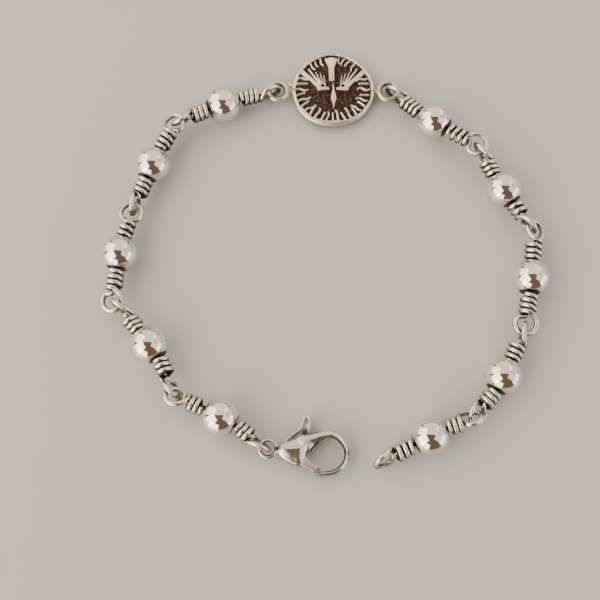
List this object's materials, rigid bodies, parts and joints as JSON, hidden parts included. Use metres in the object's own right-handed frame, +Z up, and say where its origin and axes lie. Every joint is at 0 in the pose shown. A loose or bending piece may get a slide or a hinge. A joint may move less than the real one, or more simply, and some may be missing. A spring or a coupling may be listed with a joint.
{
  "type": "rosary bracelet",
  "caption": "Rosary bracelet lying open: a cast round medal, wire-wrapped round beads, a sprung claw clasp and a free loop that the claw hooks into.",
  "frame": {"origin": "on the medal's flat back, midway between its rings, on the surface that the bracelet lies on", "axes": "+Z up, off that surface; +Y the way the medal's figure stands, away from the chain; +X to the right as the medal is seen from above"},
  "size_m": [0.0768, 0.0775, 0.0063],
  "materials": {
    "cast_silver": "worn antique silver, dark in the recesses",
    "bead_silver": "polished silver, lightly scratched",
    "wire_silver": "worn silver wire, dark between the wraps",
    "clasp_silver": "satin worn silver"
  },
  "bodies": {
    "bracelet": {"medal": "cast_silver", "clasp_body": "clasp_silver", "clasp_pin": "clasp_silver", "bead_left_1": "bead_silver", "bead_left_2": "bead_silver", "bead_left_3": "bead_silver", "bead_left_4": "bead_silver", "bead_left_5": "bead_silver", "bead_right_1": "bead_silver", "bead_right_2": "bead_silver", "bead_right_3": "bead_silver", "bead_right_4": "bead_silver", "bead_right_5": "bead_silver", "link_left_1": "wire_silver", "link_left_2": "wire_silver", "link_left_3": "wire_silver", "link_left_4": "wire_silver", "link_left_5": "wire_silver", "link_right_1": "wire_silver", "link_right_2": "wire_silver", "link_right_3": "wire_silver", "link_right_4": "wire_silver", "link_right_5": "wire_silver"},
    "clasp_lever": {"clasp_lever": "clasp_silver"}
  },
  "joints": [
    {"name": "clasp_lever_pivot", "type": "hinge", "parent": "bracelet", "child": "clasp_lever", "pos_m": [-0.0071, -0.06582, 0.00165], "axis": [0, 0, 1], "range_deg": [0, 20], "stiffness_Nm_per_rad": 0.002}
  ]
}
